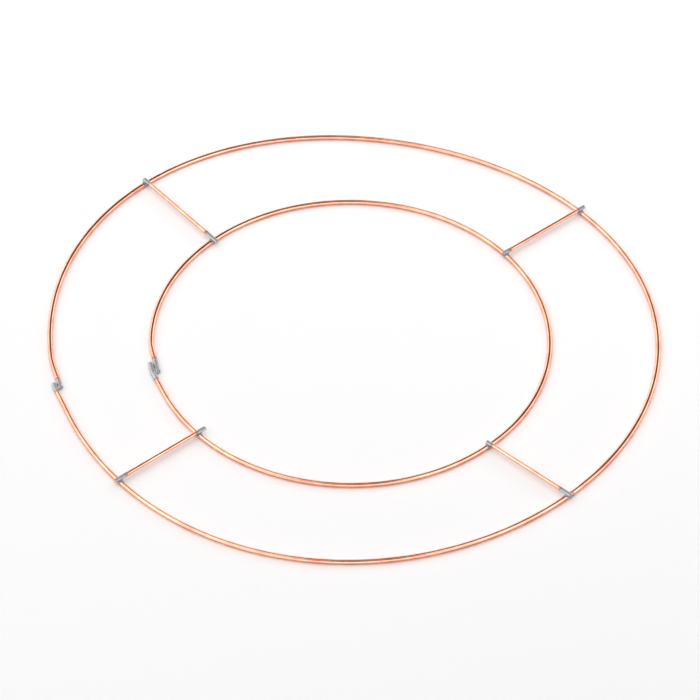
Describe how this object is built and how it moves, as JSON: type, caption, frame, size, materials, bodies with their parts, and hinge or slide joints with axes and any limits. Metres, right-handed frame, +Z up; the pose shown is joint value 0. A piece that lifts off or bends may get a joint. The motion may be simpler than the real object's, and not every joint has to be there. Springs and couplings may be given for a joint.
{
  "type": "wreath frame",
  "caption": "Flat round wire wreath frame: an outer and an inner steel wire ring joined by short cross wires spot welded over both.",
  "frame": {"origin": "centre of the inner ring, on the plane that the frame lies on", "axes": "+Z up out of the frame's plane, towards the side with the cross wires; +Y towards the back; the ring laps are on the -X side"},
  "size_m": [0.308, 0.302, 0.004],
  "materials": {
    "copper_wire": "bright copper-washed drawn steel wire",
    "weld_metal": "dull grey fused steel"
  },
  "bodies": {
    "root": {"outer_ring": "copper_wire", "inner_ring": "copper_wire", "spoke_back_left": "copper_wire", "spoke_back_right": "copper_wire", "spoke_front_right": "copper_wire", "spoke_front_left": "copper_wire", "weld_outer_back_left": "weld_metal", "weld_outer_back_right": "weld_metal", "weld_outer_front_right": "weld_metal", "weld_outer_front_left": "weld_metal", "weld_inner_back_left": "weld_metal", "weld_inner_back_right": "weld_metal", "weld_inner_front_right": "weld_metal", "weld_inner_front_left": "weld_metal", "weld_outer_lap": "weld_metal", "weld_inner_lap": "weld_metal"}
  },
  "joints": []
}
